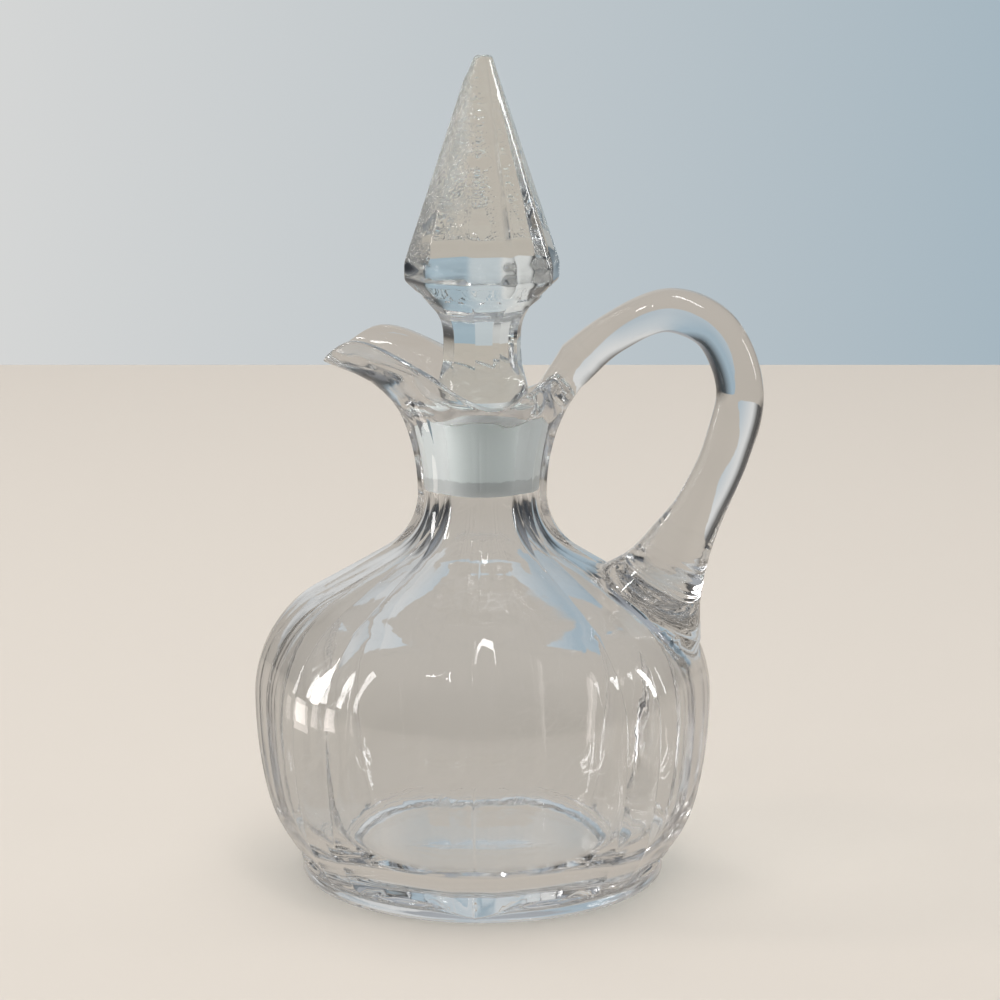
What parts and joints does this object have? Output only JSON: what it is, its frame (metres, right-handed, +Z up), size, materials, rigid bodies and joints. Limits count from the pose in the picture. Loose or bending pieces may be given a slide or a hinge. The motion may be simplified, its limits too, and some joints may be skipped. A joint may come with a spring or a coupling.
{
  "type": "glass oil and vinegar cruet with stopper",
  "caption": "Empty pressed-glass cruet with a squat panelled belly, waisted neck, curled pouring lip, loop handle and a faceted spire stopper.",
  "frame": {"origin": "middle of the foot ring, on the surface that the cruet stands on", "axes": "+Z up along the axis of the body, neck and stopper; +X towards the handle, -X towards the pouring lip"},
  "size_m": [0.102, 0.0918, 0.1645],
  "materials": {
    "clear_glass": "fire-polished clear pressed glass",
    "stopper_glass": "clear pressed glass with a frosted, ground plug"
  },
  "bodies": {
    "root": {"cruet": "clear_glass", "stopper": "stopper_glass"}
  },
  "joints": []
}
